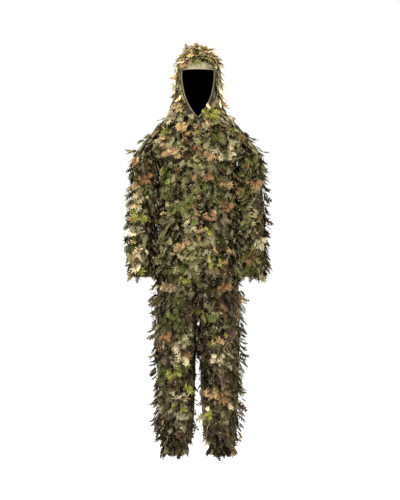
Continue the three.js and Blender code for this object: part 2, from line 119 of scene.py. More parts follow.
def jacket_rings():
    waist = HEM_Z + 0.4 * (ARMPIT_Z - HEM_Z)
    rings = [Ring(z, 0, wide, jacket_depth(z)) for z, wide in
             ((HEM_Z, HEM_HALF_WIDTH), (waist, CHEST), (ARMPIT_Z, CHEST))]
    for step in range(9):
        share = step / 8
        z = SHOULDER_Z + share * (NECK_Z - SHOULDER_Z)
        spread = (SHOULDER_HALF_WIDTH - NECK_HALF_WIDTH) * (1 - share ** 1.1)
        rings.append(Ring(z, 0, NECK_HALF_WIDTH + spread, jacket_depth(z)))
    return rings


def hood_rings():
    height = HOOD_TOP - NECK_Z
    crown = NECK_Z + 0.54 * height
    deep = high("hood_left")[1]
    rings = [Ring(NECK_Z - 0.012, 0, NECK_HALF_WIDTH - 0.004, NECK_HALF_DEPTH),
             Ring(NECK_Z + 0.32 * height, 0, HOOD_HALF_WIDTH, deep)]
    for step in range(13):
        share = math.sin(step / 12 * math.pi / 2)
        narrow = max(0.0, 1 - share ** 2.5) ** 0.5
        wall = NECK_HALF_DEPTH - 0.010
        deep_here = (wall + (deep - wall) * narrow) * narrow
        rings.append(Ring(crown + share * (HOOD_TOP - crown), 0, CROWN_HALF_WIDTH * narrow, deep_here))
    return rings


def sleeve_rings(side):
    cuff_top = high("cuff_left")[2]
    wide, deep = 0.052, 0.060
    line = ((CUFF_Z, 0.034, 0.038, 0.019), (cuff_top, 0.043, 0.047, 0.020),
            (cuff_top + 0.03, wide - 0.004, deep - 0.006, 0.018),
            (ELBOW_Z, wide - 0.001, deep - 0.002, 0.010), (SHOULDER_Z + 0.006, wide, deep, 0))
    return [Ring(z, side * (SLEEVE_X + out), w, d) for z, w, d, out in line]


def leg_rings(side):
    wide = (high("hip_left")[0] - low("hip_left")[0]) / 2
    deep = high("hip_left")[1]
    line = ((ANKLE_Z, 0.042, 0.050, 0.005), (ANKLE_TOP, 0.050, 0.056, 0.004),
            (ANKLE_TOP + 0.03, wide - 0.022, deep - 0.028, 0.002),
            (ANKLE_TOP + 0.09, wide - 0.012, deep - 0.017, 0),
            (KNEE_Z, wide - 0.003, deep - 0.009, 0), (HIP_Z + 0.004, wide, deep, 0))
    return [Ring(z, side * (LEG_X + out), w, d) for z, w, d, out in line]


def seat_rings():
    wide, deep = high("seat_front_left")[0], high("seat_back_left")[1]
    band = low("waistband")[2]
    waist_wide, waist_deep = high("waistband")[0], high("waistband")[1]
    return [Ring(HIP_Z, 0, wide, deep - 0.006), Ring(HIP_Z + 0.09, 0, wide - 0.006, deep),
            Ring(band, 0, waist_wide, waist_deep),
            Ring(WAIST_TOP, 0, waist_wide - 0.006, waist_deep - 0.004)]


class Tube:
    """An elliptical tube of cloth through rings, with hanging folds and gathers at its elastic ends."""

    def __init__(self, rings, seed, wrinkle=0.0035, gathers=(), pleats=24):
        self.rings = rings
        self.seed = seed
        self.wrinkle = wrinkle
        self.gathers = gathers
        self.pleats = pleats

    def ring(self, z):
        rings = self.rings
        for lower, upper in zip(rings, rings[1:]):
            if z <= upper.z:
                break
        share = (z - lower.z) / (upper.z - lower.z)
        return Ring(z, *(a + share * (b - a) for a, b in zip(lower[1:], upper[1:])))

    def radii(self, angle, ring):
        return ring.wide, ring.deep

    def folds(self, angle, z):
        c, s = math.cos(angle), math.sin(angle)
        broad = noise.noise(Vector((2.2 * c + self.seed, 2.2 * s, 7 * z)))
        hanging = noise.noise(Vector((6 * c, 6 * s + self.seed, 2.5 * z)))
        depth = self.wrinkle * (broad + 0.8 * hanging)
        for end in self.gathers:
            near = math.exp(-abs(z - end) / 0.03)
            depth += 0.0022 * near * math.sin(self.pleats * angle + 5 * noise.noise(Vector((c, s, end))))
        return depth

    def point(self, angle, z, out=0.0):
        ring = self.ring(z)
        wide, deep = self.radii(angle, ring)
        shift = out - CLOTH_INSET + self.folds(angle, z)
        c, s = math.cos(angle), math.sin(angle)
        return Vector((ring.x + max(wide + shift, 0) * c, max(deep + shift, 0) * s, z))

    def frame_at(self, angle, z):
        """A point on the cloth, the way out of it and the way down along it."""
        step = 0.004
        here = self.point(angle, z)
        across = self.point(angle + 0.02, z) - self.point(angle - 0.02, z)
        top, bottom = self.rings[-1].z, self.rings[0].z
        up = self.point(angle, min(z + step, top)) - self.point(angle, max(z - step, bottom))
        outward = across.cross(up).normalized()
        return here, outward, -up.normalized()


class LegTube(Tube):
    """A leg, which at the hip opens into its half of the seat."""

    def __init__(self, rings, seat, side, seed, **options):
        super().__init__(rings, seed, **options)
        self.seat = seat
        self.side = side

    def radii(self, angle, ring):
        share = min(1.0, max(0.0, (ring.z - HIP_Z + 0.13) / 0.13))
        share = share * share * (3 - 2 * share)
        if share == 0:
            return ring.wide, ring.deep
        c, s = math.cos(angle), math.sin(angle)
        ray = Vector((ring.wide * c, ring.deep * s))
        a = (ray.x / self.seat.wide) ** 2 + (ray.y / self.seat.deep) ** 2
        b = 2 * ring.x * ray.x / self.seat.wide ** 2
        e = (ring.x / self.seat.wide) ** 2 - 1
        reach = (-b + math.sqrt(b * b - 4 * a * e)) / (2 * a)
        inward = -ray.x * self.side
        if inward > 1e-6:
            reach = min(reach, (abs(ring.x) - 0.001) / inward)
        scale = 1 + share * (reach - 1)
        return ring.wide * scale, ring.deep * scale


JACKET = Tube(jacket_rings(), 1.7, gathers=(HEM_Z,), pleats=40)
HOOD = Tube(hood_rings(), 4.1, wrinkle=0.003)
SEAT = Tube(seat_rings(), 7.3, gathers=(WAIST_TOP,), pleats=36)
SLEEVE = {hand: Tube(sleeve_rings(side), 11 + side, gathers=(CUFF_Z, CUFF_Z + 0.03))
          for hand, side in SIDES}
LEG = {hand: LegTube(leg_rings(side), SEAT.rings[0], side, 17 + side, wrinkle=0.005,
                     gathers=(ANKLE_Z, ANKLE_Z + 0.03)) for hand, side in SIDES}


def face_edge(share):
    """The face opening's edge in X and Z: 0 at the throat, 1 at the middle of the brow, left half."""
    cheek = NECK_Z + 0.45 * (FACE_TOP - NECK_Z)
    tip, wide = THROAT_Z, FACE_HALF_WIDTH
    bows = (((0, tip), (0.62 * wide, tip + 0.4 * (cheek - tip)), (0.86 * wide, cheek)),
            ((0.86 * wide, cheek), (1.08 * wide, FACE_TOP - 0.02), (0.96 * wide, FACE_TOP)),
            ((0.96 * wide, FACE_TOP), (0.5 * wide, FACE_TOP + 0.001), (0, FACE_TOP + 0.001)))
    place = min(share * 3, 2.9999)
    a, b, c = bows[int(place)]
    t = place - int(place)
    return tuple((1 - t) ** 2 * p + 2 * t * (1 - t) * q + t * t * r for p, q, r in zip(a, b, c))


def face_half_width(z):
    """Half the width of the face opening at a height, and 0 below the throat."""
    edge = (face_edge(i / 60) for i in range(61))
    return max([x for x, height in edge if abs(height - z) < 0.008] + [0])


def front_y(x, z):
    """How far forward the cloth of the hood and the collar is."""
    ring = (HOOD if z > NECK_Z else JACKET).ring(z)
    return -(ring.deep - CLOTH_INSET) * math.sqrt(max(0.0, 1 - (x / ring.wide) ** 2))


# ---- materials --------------------------------------------------------------------------------------

def srgb(code):
    channels = [int(code[i:i + 2], 16) / 255 for i in (0, 2, 4)]
    linear = [c / 12.92 if c <= 0.04045 else ((c + 0.055) / 1.055) ** 2.4 for c in channels]
    return (*linear, 1.0)


def add(tree, kind, settings=None, **inputs):
    """A shader node with its settings and its inputs: a value, or another node's output."""
    node = tree.nodes.new("ShaderNode" + kind)
    for key, value in (settings or {}).items():
        setattr(node, key, value)
    for key, value in inputs.items():
        name = key.replace("_", " ")
        socket = node.inputs[int(name[1:])] if name[0] == "n" and name[1:].isdigit() else node.inputs[name]
        if isinstance(value, bpy.types.NodeSocket):
            tree.links.new(value, socket)
        else:
            socket.default_value = value
    return node


def maths(tree, operation, *values, clamp=False):
    inputs = {f"n{i}": v for i, v in enumerate(values)}
    return add(tree, "Math", {"operation": operation, "use_clamp": clamp}, **inputs).outputs[0]


def object_place(tree):
    return add(tree, "TexCoord").outputs["Object"]


def own_layout(tree):
    return add(tree, "UVMap").outputs["UV"]


def times(tree, first, second):
    return maths(tree, "MULTIPLY", first, second)


def speckles(tree, place, scale, detail, **more):
    """Soft noise over a place, from 0 to 1."""
    return add(tree, "TexNoise", Vector=place, Scale=scale, Detail=detail, **more).outputs["Fac"]


def mix(tree, share, first, second, blend="MIX"):
    node = add(tree, "Mix", {"data_type": "RGBA", "blend_type": blend, "clamp_factor": True},
               n0=share, n6=first, n7=second)
    return node.outputs[2]


def ramp(tree, value, start, end):
    """0 below start, 1 above end, smooth between."""
    node = add(tree, "MapRange", {"interpolation_type": "SMOOTHSTEP"}, Value=value)
    node.inputs["From Min"].default_value = start
    node.inputs["From Max"].default_value = end
    return node.outputs["Result"]


def group(name, inputs, outputs):
    tree = bpy.data.node_groups.new(name, "ShaderNodeTree")
    for label, kind, value in inputs:
        socket = tree.interface.new_socket(label, in_out="INPUT", socket_type="NodeSocket" + kind)
        if value is not None:
            socket.default_value = value
    for label, kind in outputs:
        tree.interface.new_socket(label, in_out="OUTPUT", socket_type="NodeSocket" + kind)
    return tree, tree.nodes.new("NodeGroupInput").outputs, tree.nodes.new("NodeGroupOutput").inputs


def use(tree, shared, **inputs):
    return add(tree, "Group", {"node_tree": shared}, **inputs).outputs


def woven_threads():
    """Crossed threads, from a pattern laid out in metres of cloth."""
    tree, given, gives = group("woven threads", [("Cloth", "Vector", None), ("Thread", "Float", 900.0)],
                               [("Height", "Float"), ("Shade", "Float")])
    warp, weft = [add(tree, "TexWave", {"bands_direction": way}, Vector=given["Cloth"],
                      Scale=given["Thread"], Distortion=0.6, Detail=1.0).outputs["Fac"] for way in "XY"]
    weave = maths(tree, "MAXIMUM", warp, weft)
    slub = speckles(tree, given["Cloth"], 220.0, 3.0)
    tree.links.new(weave, gives["Height"])
    tree.links.new(times(tree, maths(tree, "ADD", weave, slub), 0.5), gives["Shade"])
    return tree


def forest_print():
    """A printed forest floor: dark ground, bark streaks, pale ragged leaves, green and rust patches."""
    colours = [(n, "Color", (0, 0, 0, 1)) for n in ("Ground", "Bark", "Pale", "Green", "Rust", "Twig")]
    places = [("Place", "Vector", None), ("Stretch", "Vector", None)]
    tree, given, gives = group("forest print", places + colours, [("Color", "Color")])
    place = given["Place"]
    stretched = add(tree, "Mapping", Vector=place, Scale=given["Stretch"])
    streak = speckles(tree, stretched.outputs[0], 38.0, 6.0, Roughness=0.62)
    bark = ramp(tree, streak, 0.44, 0.56)
    colour = mix(tree, bark, given["Ground"], given["Bark"])
    warped = add(tree, "TexNoise", Vector=place, Scale=90.0, Detail=3.0).outputs["Color"]
    bent = add(tree, "VectorMath", {"operation": "MULTIPLY_ADD"}, n0=warped, n1=(0.02, 0.02, 0.02), n2=place)
    for name, scale, start, seed in (("Green", 24.0, 0.57, 1.0), ("Pale", 30.0, 0.53, 5.0),
                                     ("Rust", 26.0, 0.63, 9.0)):
        moved = add(tree, "VectorMath", {"operation": "ADD"}, n0=bent.outputs[0], n1=(seed, seed, seed))
        patch = speckles(tree, moved.outputs[0], scale, 5.0, Roughness=0.55)
        colour = mix(tree, ramp(tree, patch, start, start + 0.03), colour, given[name])
    crackle = add(tree, "TexVoronoi", {"feature": "DISTANCE_TO_EDGE"}, Vector=bent.outputs[0], Scale=32.0)
    twig = maths(tree, "SUBTRACT", 1.0, ramp(tree, crackle.outputs["Distance"], 0.02, 0.06))
    sparse = ramp(tree, streak, 0.50, 0.62)
    colour = mix(tree, times(tree, twig, sparse), colour, given["Twig"])
    fine = speckles(tree, place, 160.0, 4.0)
    shade = ramp(tree, fine, 0.25, 0.75)
    dim = mix(tree, 0.35, colour, mix(tree, shade, (0.25, 0.23, 0.18, 1), (1.0, 1.0, 0.95, 1)), "MULTIPLY")
    tree.links.new(dim, gives["Color"])
    return tree


def leaf_veins():
    """A midrib and slanting side veins, from a leaf laid out from stem (0) to tip (1). Also the leaf's rim,
    for a pale cut edge with painted highlight, and a ramp from stem to tip, for painted shade at the stem.
    """
    tree, given, gives = group("leaf veins", [("Leaf", "Vector", None)],
                               [(name, "Float") for name in ("Vein", "RimAndHighlight", "StemShade")])
    parts = add(tree, "SeparateXYZ", Vector=given["Leaf"]).outputs
    away = maths(tree, "ABSOLUTE", parts["X"])
    rib = maths(tree, "SUBTRACT", 1.0, ramp(tree, away, 0.012, 0.05))
    slant = maths(tree, "SUBTRACT", parts["Y"], times(tree, away, 0.9))
    beat = maths(tree, "FRACT", times(tree, slant, 7.0))
    nearest = maths(tree, "ABSOLUTE", maths(tree, "SUBTRACT", beat, 0.5))
    side = maths(tree, "SUBTRACT", 1.0, ramp(tree, nearest, 0.05, 0.16))
    vein = maths(tree, "MAXIMUM", rib, times(tree, side, 0.6))
    tree.links.new(vein, gives["Vein"])
    # The rim, for the pale cut edge and the painted highlight along it.
    tree.links.new(ramp(tree, away, 0.16, 0.34), gives["RimAndHighlight"])
    # A ramp from stem to tip, for painted shade at the stem.
    tree.links.new(ramp(tree, parts["Y"], 0.0, 0.75), gives["StemShade"])
    return tree


def rubbed_wear():
    """Soft rubbing and dust over a surface: 0 where it is fresh, 1 where it is worn."""
    tree, given, gives = group("rubbed wear", [("Place", "Vector", None), ("Size", "Float", 30.0)],
                               [("Wear", "Float")])
    broad = speckles(tree, given["Place"], given["Size"], 6.0, Roughness=0.7)
    tree.links.new(ramp(tree, broad, 0.42, 0.68), gives["Wear"])
    return tree


THREADS = woven_threads()
PRINT = forest_print()
VEINS = leaf_veins()
WEAR = rubbed_wear()


def new_material(name, roughness=0.9, metallic=0.0, specular=0.02):
    material = bpy.data.materials.new(name)
    material.use_nodes = True
    shader = material.node_tree.nodes["Principled BSDF"]
    shader.inputs["Roughness"].default_value = roughness
    shader.inputs["Metallic"].default_value = metallic
    shader.inputs["Specular IOR Level"].default_value = specular
    return material, material.node_tree, shader


def finish_surface(tree, shader, colour, height, strength, distance=0.0006):
    tree.links.new(colour, shader.inputs["Base Color"])
    bump = add(tree, "Bump", Height=height, Strength=strength, Distance=distance)
    tree.links.new(bump.outputs["Normal"], shader.inputs["Normal"])


def printed_cloth(name, ground, bark, pale, green, rust, twig, stretch=0.28, brow=False):
    """Printed cloth. The hood's has a painted highlight on the brow, a pale patch above the face opening."""
    material, tree, shader = new_material(name)
    place = object_place(tree)
    cloth = own_layout(tree)
    print_colour = use(tree, PRINT, Place=place, Stretch=(1, 1, stretch), Ground=srgb(ground),
                       Bark=srgb(bark), Pale=srgb(pale), Green=srgb(green), Rust=srgb(rust),
                       Twig=srgb(twig))["Color"]
    if brow:
        # Painted highlight: a pale patch on the brow, where light falls on the hood above the face opening.
        print_colour = mix(tree, painted_brow_highlight(tree, place), print_colour, srgb("a0967a"))
    threads = use(tree, THREADS, Cloth=cloth, Thread=420.0)
    worn = use(tree, WEAR, Place=place, Size=22.0)["Wear"]
    thread_shade = mix(tree, threads["Shade"], (0.4, 0.4, 0.4, 1), (1, 1, 1, 1))
    woven = mix(tree, 0.25, print_colour, thread_shade, "MULTIPLY")
    faded = mix(tree, times(tree, worn, 0.12), woven, srgb("a39a7c"))
    tree.links.new(maths(tree, "MULTIPLY_ADD", worn, 0.08, 0.86), shader.inputs["Roughness"])
    finish_surface(tree, shader, faded, threads["Height"], 0.4)
    return material


def painted_brow_highlight(tree, place):
    """Painted highlight: 1 on the front of the hood just above the face opening, with a soft, uneven border.
    """
    parts = add(tree, "SeparateXYZ", Vector=place).outputs
    ragged = speckles(tree, place, 45.0, 4.0)
    height = maths(tree, "MULTIPLY_ADD", ragged, 0.024, parts["Z"])
    above = ramp(tree, height, FACE_TOP - 0.004, FACE_TOP + 0.002)
    below = ramp(tree, height, FACE_TOP + 0.038, FACE_TOP + 0.022)
    across = ramp(tree, maths(tree, "ABSOLUTE", parts["X"]), 0.07, 0.02)
    patch = times(tree, times(tree, above, below), across)
    return times(tree, patch, 0.75)


def leaf_cloth():
    """Each leaf has its own tone, with printed veins and mottling, painted shade that darkens it towards the
    stem, and a pale rim that is partly its cut edge and partly painted highlight.
    """
    material, tree, shader = new_material("leaf cloth", roughness=0.8, specular=0.01)
    tone = add(tree, "Attribute", {"attribute_name": "leaf_tone"}).outputs["Color"]
    second = add(tree, "Attribute", {"attribute_name": "leaf_second"}).outputs["Color"]
    place = object_place(tree)
    leaf = own_layout(tree)
    veins = use(tree, VEINS, Leaf=leaf)
    blotch = speckles(tree, place, 75.0, 4.0, Roughness=0.6)
    mottle = speckles(tree, place, 240.0, 3.0)
    colour = mix(tree, ramp(tree, blotch, 0.57, 0.61), tone, second)
    speckle = times(tree, ramp(tree, mottle, 0.48, 0.62), 0.45)
    speckled = mix(tree, speckle, colour, srgb("1d180f"))
    veined = mix(tree, times(tree, veins["Vein"], 0.45), speckled, srgb("2a2115"))
    # Painted shade: each leaf darkens towards its stem, where it lies in the shade of the leaves over it.
    depth = mix(tree, veins["StemShade"], (0.2, 0.18, 0.15, 1), (1.2, 1.18, 1.1, 1))
    stem_shaded = mix(tree, 1.0, veined, depth, "MULTIPLY")
    # The pale rim is partly the light cut edge of the cloth and partly painted highlight along the leaf's
    # edge.
    rim_highlighted = mix(tree, times(tree, veins["RimAndHighlight"], 0.3), stem_shaded, srgb("c9bf9c"))
    threads = use(tree, THREADS, Cloth=leaf, Thread=16.0)
    height = maths(tree, "SUBTRACT", times(tree, threads["Height"], 0.3), veins["Vein"])
    finish_surface(tree, shader, rim_highlighted, height, 0.5)
    return material


def plain_weave(name, colour, second, thread=300.0, stitches=False, brow=False):
    """A plain dyed cloth, with rows of stitching along its edges where it is a folded band."""
    material, tree, shader = new_material(name)
    place = object_place(tree)
    cloth = own_layout(tree)
    threads = use(tree, THREADS, Cloth=cloth, Thread=thread)
    worn = use(tree, WEAR, Place=place, Size=60.0)["Wear"]
    base = mix(tree, threads["Shade"], srgb(second), srgb(colour))
    faded = mix(tree, times(tree, worn, 0.2), base, srgb("948b6d"))
    if brow:
        # Painted highlight: a pale patch on the brow, where light falls on the band above the face opening.
        faded = mix(tree, painted_brow_highlight(tree, place), faded, srgb("a0967a"))
    height = threads["Height"]
    if stitches:
        parts = add(tree, "SeparateXYZ", Vector=cloth).outputs
        dash = maths(tree, "FRACT", times(tree, parts["X"], 330.0))
        row = maths(tree, "ABSOLUTE", maths(tree, "SUBTRACT", parts["Y"], 0.0035))
        on_row = maths(tree, "LESS_THAN", row, 0.0006)
        stitch = times(tree, on_row, maths(tree, "LESS_THAN", dash, 0.7))
        faded = mix(tree, stitch, faded, srgb("b3a988"))
        height = maths(tree, "ADD", height, times(tree, stitch, 2.0))
    finish_surface(tree, shader, faded, height, 0.5)
    return material


def lining_cloth(name, colour):
    material, tree, shader = new_material(name, roughness=1.0)
    place = object_place(tree)
    threads = use(tree, THREADS, Cloth=place, Thread=300.0)
    shade = mix(tree, threads["Shade"], (0, 0, 0, 1), srgb(colour))
    finish_surface(tree, shader, shade, threads["Height"], 0.3)
    return material


def moulded(name, colour, roughness, metallic, grain):
    """Zip parts: a fine cast grain, and paint rubbed through on the metal ones."""
    material, tree, shader = new_material(name, roughness, metallic, specular=0.5)
    place = object_place(tree)
    cast = speckles(tree, place, grain, 5.0)
    worn = use(tree, WEAR, Place=place, Size=260.0)["Wear"]
    base = mix(tree, cast, srgb(colour), srgb("6b665a"))
    rubbed = mix(tree, times(tree, worn, 0.4), base, srgb("9b958a"))
    tree.links.new(maths(tree, "MULTIPLY_ADD", worn, -0.15, roughness), shader.inputs["Roughness"])
    finish_surface(tree, shader, rubbed, cast, 0.25, 0.0003)
    return material


def knitted_elastic():
    material, tree, shader = new_material("knitted elastic")
    place = object_place(tree)
    ribs = add(tree, "TexWave", {"bands_direction": "Z"}, Vector=place, Scale=150.0, Distortion=1.0)
    loops = add(tree, "TexVoronoi", Vector=place, Scale=600.0).outputs["Distance"]
    height = maths(tree, "ADD", ribs.outputs["Fac"], loops)
    colour = mix(tree, ribs.outputs["Fac"], srgb("1f1d18"), srgb("3b382f"))
    finish_surface(tree, shader, colour, height, 0.6)
    return material


JACKET_CLOTH = printed_cloth("jacket print", "151108", "332b18", "8d8460", "3b431f", "6b4a2c", "9c9068")
HOOD_CLOTH = printed_cloth("hood print", "1c170c", "40361f", "8d8460", "3b431f", "6b4a2c", "9c9068",
                           brow=True)
TROUSER_CLOTH = printed_cloth("trouser print", "130f08", "2f2819", "5f5a3c", "343a1a", "553d2c", "9a8e72",
                              stretch=0.12)
LEAF_CLOTH = leaf_cloth()
BAND_CLOTH = plain_weave("folded band", "4b452d", "262213", stitches=True)
HOOD_BAND = plain_weave("hood band", "423d29", "1d1a10", stitches=True, brow=True)
JACKET_LINING = lining_cloth("jacket reverse", "2e2a20")
# The hood lining is near black: painted shade, for the dark inside of the hood seen through the face
# opening.
HOOD_LINING_PAINTED_SHADE = lining_cloth("hood lining painted shade", "0b0a08")
ZIP_TAPE = plain_weave("zip tape", "4c4a35", "2e2c1e", thread=700.0)
ZIP_TEETH = moulded("zip teeth", "38352b", 0.5, 0.0, 900.0)
ZIP_METAL = moulded("zip slider metal", "2f2c25", 0.42, 0.85, 600.0)
ELASTIC = knitted_elastic()


# ---- cloth panels -----------------------------------------------------------------------------------

def keep(bm, name, materials):
    """The finished mesh as an object at the origin."""
    mesh = bpy.data.meshes.new(name)
    bm.to_mesh(mesh)
    bm.free()
    for material in materials:
        mesh.materials.append(material)
    mesh.shade_smooth()
    piece = bpy.data.objects.new(name, mesh)
    bpy.context.collection.objects.link(piece)
    return piece


def levels(bottom, top, count):
    return [bottom + (top - bottom) * i / count for i in range(count + 1)]


def tube_sheet(tube, angles, heights, columns, shape=None):
    """A grid of cloth on a tube: columns round it, one row for each height, laid out in metres."""
    bm = bmesh.new()
    layout = bm.loops.layers.uv.new("UVMap")
    rows = len(heights) - 1
    bmesh.ops.create_grid(bm, x_segments=columns, y_segments=rows, size=0.5, calc_uvs=True)
    middle = tube.ring(heights[rows // 2])
    girth = abs(angles[1] - angles[0]) * math.hypot(middle.wide, middle.deep) / math.sqrt(2)
    tall = heights[-1] - heights[0]
    for face in bm.faces:
        for corner in face.loops:
            u, v = corner.vert.co.x + 0.5, corner.vert.co.y + 0.5
            corner[layout].uv = (u * girth, v * tall)
    for vert in bm.verts:
        u, v = vert.co.x + 0.5, vert.co.y + 0.5
        z = heights[round(v * rows)]
        start, end = shape(z) if shape else angles
        vert.co = tube.point(start + (end - start) * u, z)
    bmesh.ops.remove_doubles(bm, verts=bm.verts, dist=0.00002)
    return bm, girth, tall


def thicken(piece, thickness, inner=0):
    wall = piece.modifiers.new("cloth wall", "SOLIDIFY")
    wall.thickness = thickness
    wall.offset = -1
    wall.material_offset = inner
    wall.material_offset_rim = 0
    return piece


def panel(name, tube, angles, heights, columns, nodes, materials, *, shape=None, trim=None,
          thickness=CLOTH_THICKNESS):
    bm, girth, tall = tube_sheet(tube, angles, heights, columns, shape)
    if trim:
        trim(bm)
    piece = keep(bm, name, materials)
    thicken(piece, thickness, len(materials) - 1)
    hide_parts(*nodes)
    return piece


def slot_angle(x, ring):
    return math.acos(min(1.0, x / ring.wide))


def front_shape(side):
    """A front panel runs from the zip slot, or higher up from the V of the throat, to the side seam."""
    def ends(z):
        edge = ZIP_SLOT / 2
        if z > THROAT_Z:
            share = (z - THROAT_Z) / (NECK_Z - THROAT_Z)
            edge = max(edge, 0.031 * share)
        angle = slot_angle(edge, JACKET.ring(z))
        return (-angle, -0.003) if side > 0 else (-math.pi + 0.003, -math.pi + angle)
    return ends


def cut_armholes(bm):
    """Takes out the level cloth under each shoulder, where the sleeve opens into the jacket."""
    wide, deep = 0.050, 0.058
    gone = []
    for face in bm.faces:
        centre = face.calc_center_median()
        if not ARMPIT_Z - 0.002 < centre.z < SHOULDER_Z:
            continue
        x = (abs(centre.x) - SLEEVE_X) / wide
        if x * x + (centre.y / deep) ** 2 < 1:
            gone.append(face)
    bmesh.ops.delete(bm, geom=gone, context="FACES")


def jacket_heights(bottom):
    shelf = [ARMPIT_Z + (SHOULDER_Z - ARMPIT_Z) * i / 8 for i in range(9)]
    return levels(bottom, ARMPIT_Z, 44)[:-1] + shelf[:-1] + levels(SHOULDER_Z, NECK_Z, 18)


def make_jacket():
    heights = jacket_heights(HEM_TOP)
    back = panel("jacket_back_cloth", JACKET, (0.003, math.pi - 0.003), heights, 90, ["jacket_back"],
                 [JACKET_CLOTH, JACKET_LINING], trim=cut_armholes)
    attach(back, "jacket")
    for hand, side in SIDES:
        front = panel(f"jacket_front_{hand}_cloth", JACKET, (0, math.pi / 2), heights, 44,
                      [f"jacket_front_{hand}"], [JACKET_CLOTH, JACKET_LINING],
                      shape=front_shape(side), trim=cut_armholes)
        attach(front, "jacket")
    start = -math.pi / 2 + ZIP_SLOT / 2 / HEM_HALF_WIDTH
    hem = panel("jacket_hem_cloth", JACKET, (start, start + TURN - ZIP_SLOT / HEM_HALF_WIDTH),
                levels(HEM_Z, HEM_TOP, 6), 200, ["jacket_hem_band"], [BAND_CLOTH],
                thickness=BAND_THICKNESS)
    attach(hem, "jacket")


def cut_face(bm, inset=0.0):
    """Cuts the face opening out of the front of the hood, along the straight runs of its edge."""
    edge = [face_edge(i / 24) for i in range(25)]
    edge += [(-x, z) for x, z in reversed(edge[:-1])]
    middle = (0, (THROAT_Z + FACE_TOP) / 2)
    planes = []
    for (x0, z0), (x1, z1) in zip(edge, edge[1:]):
        run = Vector((x1 - x0, 0, z1 - z0))
        if run.length < 1e-5:
            continue
        out = Vector((run.z, 0, -run.x)).normalized()
        if out.dot(Vector((x0 - middle[0], 0, z0 - middle[1]))) < 0:
            out.negate()
        planes.append((Vector((x0, 0, z0)) - out * inset, out))
    for place, out in planes:
        geometry = [f for f in bm.faces if f.calc_center_median().y < 0.0]
        around = {e for f in geometry for e in f.edges} | {v for f in geometry for v in f.verts}
        bmesh.ops.bisect_plane(bm, geom=geometry + list(around), dist=0.00005, plane_co=place, plane_no=out)
    inside = [f for f in bm.faces if f.calc_center_median().y < 0 and
              all((f.calc_center_median() - place).dot(out) < 0 for place, out in planes)]
    bmesh.ops.delete(bm, geom=inside, context="FACES")


def band_section(across):
    """How far a folded band stands out, from one edge (-1) to the other (1)."""
    return 0.0026 * math.sqrt(max(0.0, 1 - across ** 4)) + 0.0006


def make_face_band():
    bm = bmesh.new()
    layout = bm.loops.layers.uv.new("UVMap")
    columns, rows = 240, 8
    bmesh.ops.create_grid(bm, x_segments=columns, y_segments=rows, size=0.5, calc_uvs=True)
    long = 0.46
    for face in bm.faces:
        for corner in face.loops:
            corner[layout].uv = ((corner.vert.co.x + 0.5) * long, (corner.vert.co.y + 0.5) * FACE_BAND)
    for vert in bm.verts:
        u, across = 2 * vert.co.x, 2 * vert.co.y
        side = -1 if u < 0 else 1
        share = 1 - abs(u)
        x, z = face_edge(share)
        ahead = Vector(face_edge(min(1, share + 0.01))) - Vector(face_edge(max(0, share - 0.01)))
        out = Vector((ahead.y, -ahead.x)).normalized()
        reach = FACE_BAND / 2 * across - 0.005 * math.sin(share * math.pi / 2) + 0.004 * (1 - share) ** 2
        x, z = max(0.0, x + out.x * reach) * side, z + out.y * reach
        ripple = 0.0006 * noise.noise(Vector((x * 90, z * 90, 3)))
        vert.co = (x, front_y(x, z) - band_section(across) - ripple, z)
    bmesh.ops.remove_doubles(bm, verts=bm.verts, dist=0.00002)
    bmesh.ops.recalc_face_normals(bm, faces=bm.faces)
    if sum(f.normal.y for f in bm.faces) > 0:
        bmesh.ops.reverse_faces(bm, faces=bm.faces)
    band = keep(bm, "hood_edge_cloth", [HOOD_BAND])
    thicken(band, BAND_THICKNESS)
    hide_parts("hood_edge_band")
    return band


SLEEVE_SPLIT = (ELBOW_Z + SHOULDER_Z) / 2 - 0.01
LEG_SPLIT = (KNEE_Z + HIP_Z) / 2 - 0.03


def bend_shoulder(piece, hand):
    bend(piece)


def bend_elbow(piece, hand):
    bend(piece)


def bend_hip(piece, hand):
    bend(piece)


def bend_knee(piece, hand):
    bend(piece)


def bend(piece):
    """Bakes the piece's placement into its mesh; the piece is not bent between the bodies at the joint."""
    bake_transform(piece)


def make_hood():
    straight = levels(HOOD.rings[0].z, HOOD.rings[2].z, 18)
    dome = [HOOD.rings[2].z + math.sin(i / 16 * math.pi / 2) * (HOOD_TOP - HOOD.rings[2].z)
            for i in range(1, 17)]
    for hand, side in SIDES:
        angles = (-math.pi / 2, math.pi / 2) if side > 0 else (math.pi / 2, 3 * math.pi / 2)
        half = panel(f"hood_{hand}_cloth", HOOD, angles, straight + dome, 48, [f"hood_{hand}"],
                     [HOOD_CLOTH, HOOD_LINING_PAINTED_SHADE], trim=cut_face)
        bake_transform(half)
    inner = Tube([Ring(r.z - (0.006 if i > 2 else 0), r.x, max(r.wide - 0.006, 0), max(r.deep - 0.006, 0))
                  for i, r in enumerate(HOOD.rings)], 4.1, wrinkle=0.003)
    heights = [min(z, inner.rings[-1].z) for z in straight + dome]
    bm, girth, tall = tube_sheet(inner, (0, TURN), heights, 96)
    cut_face(bm, -0.004)
    # The lining takes the near-black painted shade of the hood's inside.
    lining = keep(bm, "hood_lining_cloth", [HOOD_LINING_PAINTED_SHADE])
    thicken(lining, CLOTH_THICKNESS)
    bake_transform(lining)
    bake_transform(make_face_band())


def make_limb(hand, tube, cloth, parts):
    """The cloth of a sleeve or a leg: two panels over its joints, and the elastic band at its end."""
    for name, heights, columns, nodes, rests_on, join in parts:
        band = columns == BAND_COLUMNS
        piece = panel(f"{name}_{hand}_cloth", tube, (0, TURN), heights, columns,
                      [f"{node}_{hand}" for node in nodes], [BAND_CLOTH if band else cloth, JACKET_LINING],
                      thickness=BAND_THICKNESS if band else CLOTH_THICKNESS)
        join(piece, hand)


